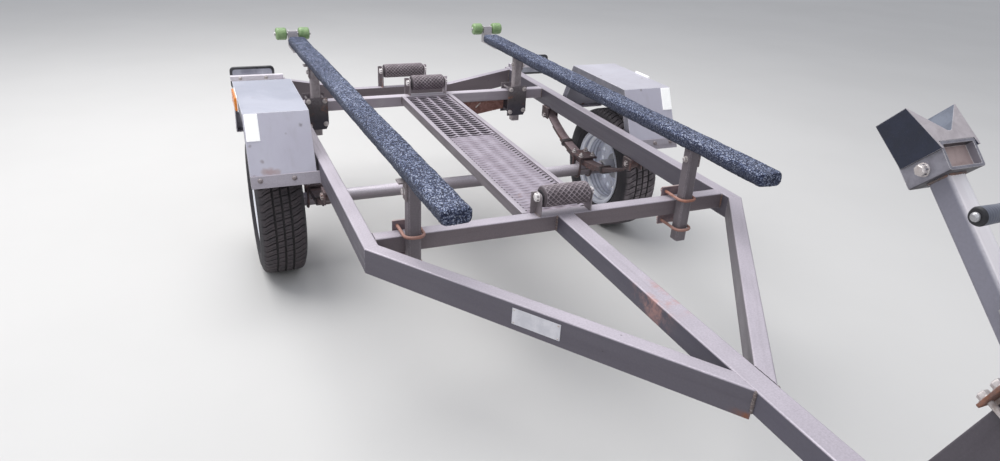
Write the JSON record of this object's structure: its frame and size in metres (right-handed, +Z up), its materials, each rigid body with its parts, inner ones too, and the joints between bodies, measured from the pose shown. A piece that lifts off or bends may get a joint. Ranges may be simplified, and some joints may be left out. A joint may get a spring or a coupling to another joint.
{
  "type": "boat trailer",
  "caption": "Single-axle boat trailer with carpeted bunks, keel rollers, winch post with V bow stop, folded steel fenders and a jockey wheel.",
  "frame": {"origin": "on the ground, at the middle of the length and width of the parked trailer", "axes": "+Z up, +Y towards the rear of the trailer, +X to the left side of the trailer (as seen facing forward), away from the winch crank"},
  "size_m": [1.84, 3.9, 1.2371],
  "materials": {
    "frame_steel": "weathered satin paint over steel, rust at edges and welds",
    "walkway_steel": "weathered pressed sheet",
    "walkway_mesh": "dark expanded steel",
    "axle_steel": "dull grey-brown",
    "spring_steel": "dark rusty steel",
    "rusty_bolts": "orange rust on plated rods",
    "bracket_steel": "dull plated steel",
    "fender_steel": "pale grey galvanised sheet, scuffed",
    "tyre_rubber": "worn tyre rubber, dusty",
    "rim_silver": "silver paint",
    "bunk_carpet": "dark blue-black carpet with pale flecks",
    "keel_rubber": "knurled black rubber",
    "green_roller": "translucent green polyurethane",
    "bow_rubber": "black rubber",
    "grip_rubber": "dark grey grip",
    "zinc_steel": "zinc plate, dulled",
    "jockey_rubber": "solid black rubber",
    "lamp_housing": "dark glossy moulding",
    "marker_lens": "amber on the right, white on the left"
  },
  "bodies": {
    "chassis": {"axle_beam": "axle_steel", "axle_u_bolts": "spring_steel", "bow_stop_arm": "frame_steel", "bow_stop_block": "bow_rubber", "bow_stop_bracket": "frame_steel", "bunk_angle_brackets": "rusty_bolts", "bunk_posts": "frame_steel", "bunk_roller_brackets": "bracket_steel", "coupler": "zinc_steel", "coupler_lever": "zinc_steel", "drawbar": "frame_steel", "fender_brackets": "bracket_steel", "front_cross_member": "frame_steel", "front_post_clamps": "rusty_bolts", "jack_clamp": "zinc_steel", "jack_crank": "zinc_steel", "jack_outer_tube": "zinc_steel", "keel_roller_brackets": "spring_steel", "leaf_springs": "spring_steel", "left_bunk": "bunk_carpet", "left_drawbar_arm": "frame_steel", "left_fender": "fender_steel", "left_side_rail": "frame_steel", "rear_cross_member": "frame_steel", "rear_dropped_member": "frame_steel", "rear_post_clamps": "spring_steel", "right_bunk": "bunk_carpet", "right_drawbar_arm": "frame_steel", "right_fender": "fender_steel", "right_side_rail": "frame_steel", "side_markers": "marker_lens", "spring_hangers": "spring_steel", "tail_lamp_bars": "frame_steel", "tail_lamps": "lamp_housing", "walkway_grating": "walkway_mesh", "walkway_plank": "walkway_steel", "walkway_side_members": "frame_steel", "winch_frame": "zinc_steel", "winch_post": "frame_steel"},
    "right_wheel": {"right_tyre": "tyre_rubber", "right_wheel_rim": "rim_silver", "right_hub": "axle_steel"},
    "left_wheel": {"left_tyre": "tyre_rubber", "left_wheel_rim": "rim_silver", "left_hub": "axle_steel"},
    "front_keel_roller": {"front_keel_roller": "keel_rubber"},
    "middle_keel_roller": {"middle_keel_roller": "keel_rubber"},
    "rear_keel_roller": {"rear_keel_roller": "keel_rubber"},
    "right_outer_roller": {"right_outer_bunk_roller": "green_roller"},
    "right_inner_roller": {"right_inner_bunk_roller": "green_roller"},
    "left_inner_roller": {"left_inner_bunk_roller": "green_roller"},
    "left_outer_roller": {"left_outer_bunk_roller": "green_roller"},
    "winch": {"winch_drum": "zinc_steel", "winch_crank": "zinc_steel", "winch_grip": "grip_rubber"},
    "jack_leg": {"jack_inner_tube": "zinc_steel"},
    "caster": {"caster_fork": "zinc_steel"},
    "jockey_wheel": {"jockey_wheel": "jockey_rubber"}
  },
  "joints": [
    {"name": "right_wheel_spin", "type": "hinge", "parent": "chassis", "child": "right_wheel", "pos_m": [-0.803, 1, 0.289], "axis": [1, 0, 0], "continuous": true},
    {"name": "left_wheel_spin", "type": "hinge", "parent": "chassis", "child": "left_wheel", "pos_m": [0.803, 1, 0.289], "axis": [1, 0, 0], "continuous": true},
    {"name": "front_keel_roller_spin", "type": "hinge", "parent": "chassis", "child": "front_keel_roller", "pos_m": [0, 0.005, 0.636], "axis": [1, 0, 0], "continuous": true},
    {"name": "middle_keel_roller_spin", "type": "hinge", "parent": "chassis", "child": "middle_keel_roller", "pos_m": [0, 1.48, 0.633], "axis": [1, 0, 0], "continuous": true},
    {"name": "rear_keel_roller_spin", "type": "hinge", "parent": "chassis", "child": "rear_keel_roller", "pos_m": [0, 1.913, 0.592], "axis": [1, 0, 0], "continuous": true},
    {"name": "right_outer_roller_spin", "type": "hinge", "parent": "chassis", "child": "right_outer_roller", "pos_m": [-0.627, 1.887, 0.806], "axis": [1, 0, 0], "continuous": true},
    {"name": "right_inner_roller_spin", "type": "hinge", "parent": "chassis", "child": "right_inner_roller", "pos_m": [-0.517, 1.887, 0.806], "axis": [1, 0, 0], "continuous": true},
    {"name": "left_inner_roller_spin", "type": "hinge", "parent": "chassis", "child": "left_inner_roller", "pos_m": [0.414, 1.887, 0.806], "axis": [1, 0, 0], "continuous": true},
    {"name": "left_outer_roller_spin", "type": "hinge", "parent": "chassis", "child": "left_outer_roller", "pos_m": [0.525, 1.887, 0.806], "axis": [1, 0, 0], "continuous": true},
    {"name": "winch_turn", "type": "hinge", "parent": "chassis", "child": "winch", "pos_m": [0, -1.42395, 0.99812], "axis": [1, 0, 0], "continuous": true},
    {"name": "jack_slide", "type": "slide", "parent": "chassis", "child": "jack_leg", "axis": [0, 0, 1], "range_m": [-0.08, 0.12]},
    {"name": "caster_swivel", "type": "hinge", "parent": "jack_leg", "child": "caster", "pos_m": [-0.062, -1.65, 0.24], "axis": [0, 0, 1], "continuous": true},
    {"name": "jockey_wheel_spin", "type": "hinge", "parent": "caster", "child": "jockey_wheel", "pos_m": [-0.062, -1.612, 0.1], "axis": [1, 0, 0], "continuous": true}
  ]
}
